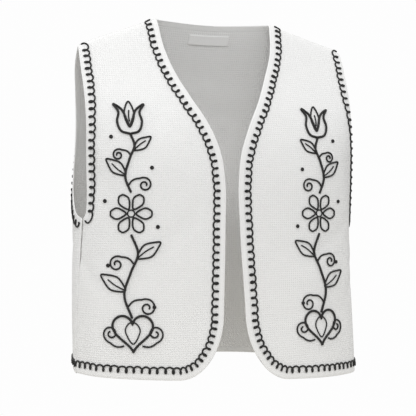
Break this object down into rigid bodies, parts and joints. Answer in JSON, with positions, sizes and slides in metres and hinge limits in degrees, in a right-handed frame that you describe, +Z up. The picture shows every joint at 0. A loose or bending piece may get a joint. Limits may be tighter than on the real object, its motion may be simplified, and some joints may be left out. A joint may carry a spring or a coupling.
{
  "type": "embroidered folk vest",
  "caption": "Sleeveless open-front cropped vest with rounded lower front corners, V neckline and a blank label inside the back neck.",
  "frame": {"origin": "on the centre line between the two shoulders that hold the vest up, at the height of its neck points", "axes": "+Z up the body, the open front faces -Y, +X towards the panel front_right"},
  "size_m": [0.4214, 0.2083, 0.5175],
  "materials": {
    "vest_cloth": "matt white pique cotton with a fine square grid and raised black cord embroidery",
    "label_tape": "blank white woven label tape with a slight sheen"
  },
  "bodies": {
    "root": {"front_left": "vest_cloth", "front_right": "vest_cloth", "back": "vest_cloth", "neck_label": "label_tape"}
  },
  "joints": []
}
